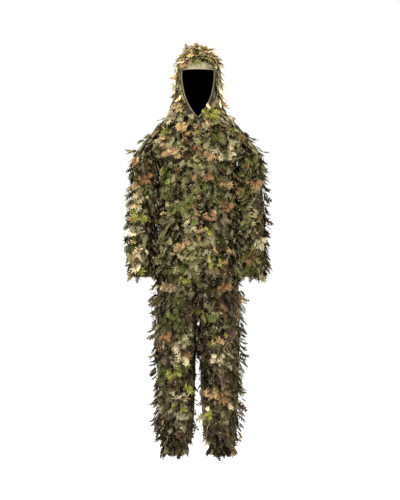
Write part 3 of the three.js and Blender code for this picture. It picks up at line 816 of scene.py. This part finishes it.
def make_sleeve(hand):
    cuff_top = high(f"cuff_{hand}")[2]
    make_limb(hand, SLEEVE[hand], JACKET_CLOTH, (
        ("sleeve_upper", levels(SLEEVE_SPLIT, SHOULDER_Z + 0.004, 22), 56, ("shoulder", "sleeve_upper"),
         "jacket_back_cloth", bend_shoulder),
        ("sleeve_lower", levels(cuff_top, SLEEVE_SPLIT, 40), 56, ("elbow", "sleeve_lower"),
         f"sleeve_upper_{hand}_cloth", bend_elbow),
        ("cuff", levels(CUFF_Z, cuff_top, 8), BAND_COLUMNS, ("cuff",), f"sleeve_lower_{hand}_cloth",
         lambda piece, hand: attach(piece, f"sleeve_lower_{hand}"))))


def make_leg(hand):
    make_limb(hand, LEG[hand], TROUSER_CLOTH, (
        ("leg_upper", levels(LEG_SPLIT, HIP_Z + 0.002, 26), 72, ("hip", "thigh"),
         f"seat_front_{hand}_cloth", bend_hip),
        ("leg_lower", levels(ANKLE_TOP, LEG_SPLIT, 56), 72, ("knee", "shin"), f"leg_upper_{hand}_cloth",
         bend_knee),
        ("ankle", levels(ANKLE_Z, ANKLE_TOP, 8), BAND_COLUMNS, ("ankle_hem",), f"leg_lower_{hand}_cloth",
         lambda piece, hand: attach(piece, f"shin_{hand}"))))


def make_trousers():
    band = low("waistband")[2]
    for hand, side in SIDES:
        for place, base in (("front", -math.pi / 2), ("back", 0)):
            start = base if side > 0 else (-math.pi if place == "front" else math.pi / 2)
            quarter = panel(f"seat_{place}_{hand}_cloth", SEAT, (start + 0.002, start + math.pi / 2 - 0.002),
                            levels(HIP_Z, band, 20), 36, [f"seat_{place}_{hand}"],
                            [TROUSER_CLOTH, JACKET_LINING])
            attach(quarter, "trousers")
    waist = panel("waistband_cloth", SEAT, (0, TURN), levels(band, WAIST_TOP, 8), 216, ["waistband"],
                  [BAND_CLOTH, JACKET_LINING], thickness=BAND_THICKNESS)
    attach(waist, "trousers")
    for hand, _ in SIDES:
        make_leg(hand)


# ---- leaves -----------------------------------------------------------------------------------------

def lay_out(bm):
    """A leaf's own layout: across it, and from stem to tip."""
    layout = bm.loops.layers.uv.new("UVMap")
    for face in bm.faces:
        for corner in face.loops:
            corner[layout].uv = corner.vert.co.xy


def template(bm, name, curl, fold, twist):
    """Bends a flat leaf, gives it the thickness of cloth and stores it. The stem is at the origin."""
    lay_out(bm)
    for vert in bm.verts:
        x, y = vert.co.x, vert.co.y
        vert.co.z = -curl * y * y - fold * abs(x) + twist * x * (y - 0.3)
    bmesh.ops.solidify(bm, geom=bm.faces[:], thickness=LEAF_SHEET)
    bmesh.ops.recalc_face_normals(bm, faces=bm.faces)
    mesh = bpy.data.meshes.new(name)
    bm.to_mesh(mesh)
    bm.free()
    for attribute in ("leaf_tone", "leaf_second"):
        mesh.attributes.new(attribute, "FLOAT_COLOR", "POINT")
    return mesh


def lobed_leaf(lobes, notch, wide, rng, curl, fold, twist):
    """A jagged leaf: a disc whose rim goes in and out, drawn out from stem to tip."""
    bm = bmesh.new()
    bmesh.ops.create_circle(bm, cap_ends=True, cap_tris=True, segments=2 * lobes, radius=1.0)
    for vert in bm.verts:
        if vert.co.length < 0.5:
            vert.co = (0, 0.5, 0)
            continue
        around = math.atan2(vert.co.x, -vert.co.y)
        step = round(around / (TURN / (2 * lobes)))
        reach = rng.uniform(0.88, 1.08) if step % 2 == 0 else notch * rng.uniform(0.85, 1.15)
        if step == 0:
            reach = 1.0
        lean = 0.12 * math.sin(around) if step % 2 == 0 else 0.0
        along = 0.5 - 0.5 * reach * math.cos(around) + 0.1 * abs(lean)
        vert.co = (wide * reach * math.sin(around), along, 0)
    return template(bm, "leaf", curl, fold, twist)


def fern_sprig(leaflets, wide, rng, curl, fold, twist):
    """A sprig: a thin stem with pointed leaflets drawn out of both of its edges."""
    bm = bmesh.new()
    bmesh.ops.create_grid(bm, x_segments=1, y_segments=leaflets, size=0.5)
    for vert in bm.verts:
        y = vert.co.y + 0.5
        vert.co = (math.copysign(0.035 * (1.25 - y), vert.co.x), y, 0)
    sides = [e for e in bm.edges if e.is_boundary and e.verts[0].co.x * e.verts[1].co.x > 0]
    for edge in sides:
        middle = (edge.verts[0].co + edge.verts[1].co) / 2
        if abs(edge.verts[0].co.y - edge.verts[1].co.y) < 0.01:
            continue
        side = math.copysign(1, middle.x)
        reach = wide * rng.uniform(0.7, 1.1) * math.sin(math.pi * min(0.92, 0.2 + 0.75 * middle.y))
        new = bmesh.ops.extrude_edge_only(bm, edges=[edge])["geom"]
        for vert in [v for v in new if isinstance(v, bmesh.types.BMVert)]:
            closer = middle + (vert.co - middle) * 0.3
            vert.co = closer + Vector((side * reach, 0.45 * reach + 0.02, 0))
    return template(bm, "sprig", curl, fold, twist)


def make_templates():
    rng = random.Random(5)
    leaves = [lobed_leaf(lobes, notch, wide, rng, curl, fold, twist)
              for lobes, notch, wide in ((9, 0.56, 0.36), (7, 0.42, 0.46), (8, 0.5, 0.30), (10, 0.6, 0.42))
              for curl, fold, twist in ((0.22, 0.3, 0.5), (-0.18, -0.25, -0.6), (0.35, 0.05, 0.2))]
    sprigs = [fern_sprig(count, wide, rng, curl, 0.15, twist)
              for count, wide in ((6, 0.34), (5, 0.28), (7, 0.26), (4, 0.42))
              for curl, twist in ((0.25, 0.4), (-0.2, -0.5))]
    return leaves, sprigs


TONES = {
    "sage": "7a7450", "olive": "504d2b", "bark": "44361f", "dark": "140f07", "rust": "8a6444",
    "green": "525a29", "fern": "87883a", "bone": "b3a785", "plum": "57433b", "ochre": "a98960",
}
PALE_TONES = {"sage", "bone", "ochre", "fern", "rust", "green"}
JACKET_MIX = {"sage": 17, "olive": 15, "bark": 19, "dark": 30, "rust": 6, "green": 11, "fern": 5, "bone": 8,
              "ochre": 6}
HOOD_MIX = {"sage": 22, "olive": 12, "bark": 12, "dark": 10, "rust": 7, "green": 10, "fern": 7, "bone": 18,
            "ochre": 12}
LEG_MIX = {"sage": 8, "olive": 16, "bark": 20, "dark": 25, "rust": 2, "green": 5, "fern": 2, "bone": 8,
           "plum": 26, "ochre": 2}


def pick_tone(point, blend, rng, lean, gain, fixed=None):
    """A tone for a leaf. Neighbours tend to share one, and a column leans to the pale or the dark ones."""
    best, score = None, -1e9
    for index, (tone, weight) in enumerate(blend.items()):
        place = Vector((point.x * 13, point.y * 13, point.z * 9)) + Vector((11.3, 7.1, 3.7)) * index
        here = math.log(weight) + 3.4 * noise.noise(place) + rng.gauss(0, 0.8)
        here += lean if tone in PALE_TONES else -lean
        if here > score:
            best, score = tone, here
    shade = rng.uniform(0.85, 1.35) if fixed else gain * math.exp(rng.gauss(0, 0.42) + 0.45 * lean)
    return [c * shade for c in srgb(TONES[fixed or best])[:3]] + [1.0]


# Columns of leaves by turns lean to the pale tones or the dark ones, are full or thin, and stand out or lie.
Column = namedtuple("Column", "lean cover lift size")
PALE_COLUMN = Column(0.7, 0.95, 1.3, 1.05)
DARK_COLUMN = Column(-0.6, 0.45, 0.45, 0.9)
CLUSTER_LEAVES = 7
ZIP_COVER = 0.085


class Foliage:
    """All the leaves on one panel, gathered in one mesh."""

    def __init__(self, seed, blend, length=LEAF_LENGTH, sprigs=0.3, gain=1.0):
        self.bm = bmesh.new()
        self.rng = random.Random(seed)
        self.blend = blend
        self.length = length
        self.sprigs = sprigs
        self.gain = gain
        self.lean = 0.0

    def hang(self, tube, angle, z, yaw, stand, scale=1.0, kinds=None, tone=None):
        """Sews one leaf to the cloth by its stem, turned by yaw from hanging straight down."""
        rng = self.rng
        here, outward, down = tube.frame_at(angle, z)
        across = outward.cross(down)
        length = self.length * scale * rng.uniform(0.75, 1.3)
        room = HEM_HALF_DEPTH + BOX_MARGIN - abs(here.y)
        if abs(outward.y) > 0.3:
            stand = min(stand, math.asin(min(0.9, max(0.05, room / length / abs(outward.y)))))
        along = down * math.cos(yaw) + across * math.sin(yaw)
        way = along * math.cos(stand) + outward * math.sin(stand)
        face = (outward - way * outward.dot(way)).normalized()
        side = way.cross(face)
        wide = length * rng.uniform(0.85, 1.15)
        place = Matrix.Identity(4)
        columns = (side * wide, way * length, face * length, here + outward * rng.uniform(0.001, 0.004))
        for i, column in enumerate(columns):
            place.col[i][:3] = column
        shapes = kinds or (SPRIGS if rng.random() < self.sprigs else LEAVES)
        mesh = rng.choice(shapes).copy()
        mesh.transform(place)
        count = len(mesh.vertices)
        first = pick_tone(here, self.blend, rng, self.lean, self.gain, tone)
        mesh.attributes["leaf_tone"].data.foreach_set("color", first * count)
        second = pick_tone(here * 1.7, self.blend, rng, self.lean, self.gain)
        mesh.attributes["leaf_second"].data.foreach_set("color", second * count)
        self.bm.from_mesh(mesh)
        bpy.data.meshes.remove(mesh)

    def columns(self, tube, angles, heights, count, pitch, keep_here=None, stand=(0.15, 0.6)):
        """Vertical rows of leaves. Each row is sewn on one line, with leaves to both sides of it."""
        rng = self.rng
        start, end = angles
        bottom, top = heights
        for column in range(count):
            angle = start + (end - start) * (column + 0.5) / count
            kind = PALE_COLUMN if column % 2 else DARK_COLUMN
            self.lean = kind.lean + rng.gauss(0, 0.3)
            z = top - rng.uniform(0, pitch)
            while z > bottom:
                for side in (-1, 1):
                    at = angle + side * 0.012 + rng.gauss(0, 0.015)
                    if rng.random() > kind.cover * (keep_here(at, z) if keep_here else 1.0):
                        continue
                    yaw = side * rng.uniform(0.1, 0.95)
                    lift = rng.uniform(*stand) * kind.lift
                    self.hang(tube, at, z + rng.uniform(-0.006, 0.006), yaw, lift, kind.size)
                z -= pitch * rng.uniform(0.8, 1.2)

    def clusters(self, tube, zone, heights):
        """Bursts of leaves in one tone, where the zone has a bright cluster on this tube."""
        rng = self.rng
        for x, z, tone in ACCENTS[zone]:
            x, z = x / 1000, z / 1000
            ring = tube.ring(z)
            if not heights[0] <= z < heights[1] or abs(x - ring.x) > 0.97 * ring.wide:
                continue
            angle = -math.acos((x - ring.x) / ring.wide)
            for index in range(CLUSTER_LEAVES):
                self.hang(tube, angle + rng.gauss(0, 0.05), z + 0.016 + rng.gauss(0, 0.006),
                          0.4 * (index - CLUSTER_LEAVES // 2), rng.uniform(0.3, 0.55), 0.85, tone=tone)

    def hem(self, tube, z, count, turned, stand):
        """One row of leaves all round, which hangs over an edge of the cloth."""
        for index in range(count):
            self.hang(tube, TURN * index / count, z, self.rng.uniform(-turned, turned),
                      self.rng.uniform(*stand))

    def seam(self, tube, angle, heights, pitch, stand=(0.7, 1.05), scale=0.8, spread=0.12):
        """A row of sprigs that stand out of a seam, pointing outwards and down."""
        z = heights[1]
        while z > heights[0]:
            self.hang(tube, angle + self.rng.gauss(0, spread), z, self.rng.uniform(-0.5, 0.5),
                      self.rng.uniform(*stand), scale, SPRIGS if self.rng.random() < 0.7 else LEAVES)
            z -= pitch * self.rng.uniform(0.7, 1.3)

    def finish(self, name, *nodes):
        """Presses in the tips that stand too far out, and keeps the leaves as one piece."""
        for axis, start in ((0, SLEEVE_REACH), (1, HEM_HALF_DEPTH)):
            for vert in self.bm.verts:
                over = abs(vert.co[axis]) - start
                if over > 0:
                    reach = start + BOX_MARGIN * (1 - math.exp(-over / BOX_MARGIN))
                    vert.co[axis] = math.copysign(reach, vert.co[axis])
        piece = keep(self.bm, name, [LEAF_CLOTH])
        if nodes:
            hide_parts(*nodes)
        return piece


def shoulder_cover(angle, z):
    """The tops of the shoulders stay nearly smooth, and nothing hangs over the throat."""
    point = JACKET.point(angle, z)
    if point.y < 0 and z > THROAT_Z - 0.012 and abs(point.x) < face_half_width(z) + 0.028:
        return 0.0
    if z < SHOULDER_Z + 0.02:
        return 1.0
    return 1.0 - 0.8 * math.cos(angle) ** 2


def hood_cover(angle, z):
    """No leaves over the face opening, and few on the brow above it."""
    point = HOOD.point(angle, z)
    if point.y > 0:
        return 0.85
    if z > FACE_TOP + 0.026:
        return 0.95
    return 0.0 if z > FACE_TOP - 0.03 or abs(point.x) < face_half_width(z) + 0.006 else 0.9


def inner_leg_cover(side):
    """Fewer leaves where the legs face each other, so that the gap between them stays open."""
    def cover(angle, z):
        inward = -side * math.cos(angle)
        if inward > 0.2 and z < ANKLE_TOP + 0.02:
            return 0.0
        if inward > 0.75 and z < KNEE_Z + 0.04:
            return 0.12
        return 0.85
    return cover


# Bright clusters on the front of the suit: place in X and Z, in millimetres, and tone.
ACCENTS = {
    "jacket": (
        (-54, 459, "ochre"), (-118, 359, "ochre"), (40, 343, "ochre"), (45, 254, "rust"),
        (114, 222, "ochre"), (40, 86, "rust"), (-70, -40, "ochre"), (93, -51, "ochre"),
        (114, 128, "rust"), (51, 511, "fern"), (-44, 96, "green"), (82, 159, "green"),
        (-123, 180, "green"), (45, 33, "fern"), (-23, 138, "green"), (129, 496, "bone"),
        (-123, 506, "bone"), (114, 348, "bone"), (-28, 306, "sage"), (14, -19, "sage"),
        (66, -93, "fern"), (-65, 254, "bark"), (9, 201, "green"), (-107, 117, "green")),
    "sleeve": (
        (-202, 396, "ochre"), (-217, 249, "rust"), (240, 233, "rust"), (-249, 86, "fern"),
        (298, 33, "fern"), (-223, 369, "ochre"), (-265, 327, "ochre"), (282, 159, "green"),
        (261, 285, "green"), (-233, 201, "green"), (-265, 138, "green"), (229, 327, "green"),
        (219, 369, "fern"), (-238, -72, "bone"), (261, -30, "bone"), (198, 191, "ochre")),
    "hood": (
        (-2, 768, "green"), (30, 779, "ochre"), (-33, 779, "bone"), (51, 760, "rust"),
        (-60, 737, "rust"), (-7, 795, "bone"), (93, 737, "fern"), (72, 769, "ochre"),
        (-92, 636, "bone"), (-80, 550, "ochre"), (-54, 769, "ochre")),
    "leg": (
        (-54, -177, "fern"), (24, -314, "fern"), (-107, -577, "fern"), (-49, -645, "fern"),
        (40, -766, "fern"), (114, -209, "rust"), (-133, -429, "rust"), (103, -682, "rust"),
        (61, -661, "ochre"), (-123, -755, "plum"), (82, -440, "ochre"), (-128, -219, "bone"),
        (-91, -671, "bone"), (87, -519, "bone"), (72, -335, "green"), (-102, -335, "green"),
        (77, -461, "green"), (-65, -545, "green"), (135, -419, "plum"), (-112, -440, "plum"),
        (-75, -724, "fern"), (51, -745, "fern"), (177, -261, "rust"), (145, -324, "plum")),
}

# Sprigs that stick out of the hood: angle round it, height, turn from hanging down, and size.
LOOSE_HOOD_SPRIGS = [(-2.75, HOOD_TOP - 0.13, 0.3, 1.1), (-2.7, HOOD_TOP - 0.126, -0.9, 0.9),
                     (-2.7, HOOD_TOP - 0.136, 1.2, 1.0), (-0.55, HOOD_TOP - 0.045, 0.3, 0.9),
                     (-0.5, HOOD_TOP - 0.06, -0.4, 1.0), (-0.5, HOOD_TOP - 0.085, 0.2, 0.8),
                     (-1.8, HOOD_TOP - 0.004, 2.6, 0.55), (-2.4, HOOD_TOP - 0.02, 0.8, 0.8)]


def make_leaves():
    body = Foliage(21, JACKET_MIX, length=0.044, gain=0.47)
    body.columns(JACKET, FROM_FRONT, (HEM_Z + 0.012, ARMPIT_Z - 0.01), 18, 0.018)
    body.columns(JACKET, FROM_FRONT, (SHOULDER_Z, NECK_Z - 0.005), 26, 0.02, shoulder_cover)
    for z in levels(HEM_Z + 0.03, THROAT_Z - 0.03, 40):
        body.hang(JACKET, -math.pi / 2 - ZIP_COVER, z, 0.9, 0.35)
        body.hang(JACKET, -math.pi / 2 + ZIP_COVER, z - 0.006, -0.9, 0.35)
    body.clusters(JACKET, "jacket", (HEM_Z, NECK_Z))
    body.hem(JACKET, HEM_Z + 0.024, 72, 0.7, (0.1, 0.3))
    piece = body.finish("jacket_leaves", "leaf_strip_front_left", "leaf_strip_front_right",
                        "leaf_strip_back_left", "leaf_strip_back_right")
    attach(piece, "jacket")

    head = Foliage(22, HOOD_MIX, length=0.034, sprigs=0.5, gain=1.45)
    head.columns(HOOD, FROM_FRONT, (NECK_Z + 0.005, HOOD_TOP - 0.012), 20, 0.017, hood_cover,
                 stand=(0.08, 0.4))
    for index in range(48):
        z = HOOD_TOP - 0.001 - 0.014 * head.rng.random() ** 2
        head.hang(HOOD, TURN * index / 48, z, head.rng.uniform(-1, 1), 0.2)
    head.clusters(HOOD, "hood", (NECK_Z, HOOD_TOP))
    for angle, z, yaw, scale in LOOSE_HOOD_SPRIGS:
        head.hang(HOOD, angle, z, yaw, 1.25, scale, SPRIGS)
    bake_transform(head.finish("hood_leaves"))

    seat = Foliage(23, LEG_MIX, gain=0.54)
    seat.columns(SEAT, FROM_FRONT, (HIP_Z + 0.03, HEM_Z + 0.03), 24, 0.025, stand=(0.1, 0.35))
    seat.clusters(SEAT, "leg", (HIP_Z, HEM_Z))
    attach(seat.finish("seat_leaves"), "trousers")
    for index, (hand, side) in enumerate(SIDES):
        make_limb_leaves(hand, side, 30 + 10 * index)


def fringe_leg(foliage, tube, outer, heights):
    """Fringes down a leg: full ones at the outer seam, short ones at the inner seam and over the front."""
    bottom, top = heights
    inner = outer + math.pi
    thick_above = KNEE_Z + 0.04
    foliage.seam(tube, outer, heights, 0.011, stand=(0.6, 1.15), scale=0.95)
    # The leaves of the inner seam lean to dark tones: painted shade where the legs face each other.
    foliage.lean = -0.8
    foliage.seam(tube, inner, (bottom, thick_above), 0.016, stand=(0.3, 0.8), scale=0.45, spread=0.25)
    foliage.seam(tube, inner, (max(bottom, thick_above), top), 0.008, stand=(0.4, 1.1), scale=0.85,
                 spread=0.4)
    foliage.lean = 0.35
    for angle in (-2.25, -1.75, -1.3, -0.85):
        foliage.seam(tube, angle, heights, 0.012, stand=(0.2, 0.6), scale=0.7, spread=0.03)


def make_limb_leaves(hand, side, seed):
    outer = 0.0 if side > 0 else math.pi
    tube = SLEEVE[hand]
    upper = Foliage(seed, JACKET_MIX, gain=0.6)
    upper.columns(tube, (0, TURN), (SLEEVE_SPLIT, SHOULDER_Z), 8, 0.018, stand=(0.1, 0.4))
    upper.seam(tube, outer, (SLEEVE_SPLIT, SHOULDER_Z), 0.024, stand=(0.4, 0.9), scale=0.65)
    upper.clusters(tube, "sleeve", (SLEEVE_SPLIT, SHOULDER_Z))
    bend_shoulder(upper.finish(f"sleeve_upper_{hand}_leaves", f"leaf_strip_upper_sleeve_{hand}"), hand)
    lower = Foliage(seed + 1, JACKET_MIX, gain=0.6)
    lower.columns(tube, (0, TURN), (CUFF_Z + 0.015, SLEEVE_SPLIT), 8, 0.018)
    lower.seam(tube, outer, (CUFF_Z + 0.03, SLEEVE_SPLIT), 0.024)
    lower.clusters(tube, "sleeve", (CUFF_Z, SLEEVE_SPLIT))
    bend_elbow(lower.finish(f"sleeve_lower_{hand}_leaves", f"leaf_strip_lower_sleeve_{hand}"), hand)

    tube = LEG[hand]
    cover = inner_leg_cover(side)
    thigh = Foliage(seed + 2, LEG_MIX, length=0.040, sprigs=0.6, gain=0.54)
    thigh.columns(tube, (0, TURN), (LEG_SPLIT, HIP_Z + 0.02), 12, 0.02, cover, stand=(0.05, 0.4))
    fringe_leg(thigh, tube, outer, (LEG_SPLIT, HIP_Z + 0.02))
    thigh.clusters(tube, "leg", (LEG_SPLIT, HIP_Z))
    bend_hip(thigh.finish(f"leg_upper_{hand}_leaves", f"leaf_strip_thigh_{hand}"), hand)
    shin = Foliage(seed + 3, LEG_MIX, length=0.040, sprigs=0.6, gain=0.54)
    shin.columns(tube, (0, TURN), (ANKLE_Z + 0.02, LEG_SPLIT), 12, 0.02, cover, stand=(0.05, 0.4))
    fringe_leg(shin, tube, outer, (ANKLE_Z + 0.025, LEG_SPLIT))
    shin.clusters(tube, "leg", (ANKLE_Z, LEG_SPLIT))
    shin.hem(tube, ANKLE_Z + 0.03, 24, 0.6, (0.1, 0.5))
    bend_knee(shin.finish(f"leg_lower_{hand}_leaves", f"leaf_strip_shin_{hand}"), hand)


# ---- frame parts that stay, floor, light and camera ---------------------------------------------------

def paint_frame_parts():
    for name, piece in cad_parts.items():
        if name.startswith("zip_tape"):
            paint = ZIP_TAPE
        elif name.startswith("zip_teeth") or name == "zip_box":
            paint = ZIP_TEETH
        elif name.startswith("zip"):
            paint = ZIP_METAL
        else:
            paint = ELASTIC
        for slot in piece.material_slots:
            slot.material = paint


def make_studio():
    floor_material, _, shader = new_material("studio floor")
    shader.inputs["Base Color"].default_value = (1, 1, 1, 1)
    bm = bmesh.new()
    bmesh.ops.create_grid(bm, x_segments=1, y_segments=1, size=12.0)
    bmesh.ops.translate(bm, verts=bm.verts, vec=(0, 0, ANKLE_Z - 0.26))
    floor = keep(bm, "studio_floor", [floor_material])
    world = bpy.data.worlds.new("studio")
    world.use_nodes = True
    world.node_tree.nodes["Background"].inputs["Color"].default_value = (1, 1, 1, 1)
    world.node_tree.nodes["Background"].inputs["Strength"].default_value = 1.0
    bpy.context.scene.world = world
    for name, place, size, power in (("key", (-1.4, -2.8, 3.0), 1.0, 190),
                                     ("fill", (2.4, -2.6, 1.0), 2.0, 40),
                                     ("back", (0.5, 3.0, 2.4), 1.6, 60)):
        light = bpy.data.lights.new(name, "AREA")
        light.energy = power
        light.size = size
        lamp = bpy.data.objects.new(name, light)
        lamp.location = place
        lamp.rotation_euler = (-Vector(place)).to_track_quat("-Z", "Y").to_euler()
        bpy.context.collection.objects.link(lamp)
    bpy.context.scene.view_settings.view_transform = "Standard"


def place_camera():
    """A level camera in front, far enough that the suit is nearly free of perspective."""
    lens, seen_height, aim = 85.0, 2.155, ANKLE_Z + 0.879
    camera = bpy.data.cameras.new("camera")
    camera.lens = lens
    camera.sensor_width = 36.0
    holder = bpy.data.objects.new("camera", camera)
    holder.location = (0.0086, -lens / camera.sensor_width * seen_height, aim)
    holder.rotation_euler = (math.pi / 2, 0, 0)
    bpy.context.collection.objects.link(holder)
    bpy.context.scene.camera = holder


LEAVES, SPRIGS = make_templates()
place_camera()
paint_frame_parts()
make_jacket()
make_hood()
for sleeve_hand, _ in SIDES:
    make_sleeve(sleeve_hand)
make_trousers()
make_leaves()
make_studio()
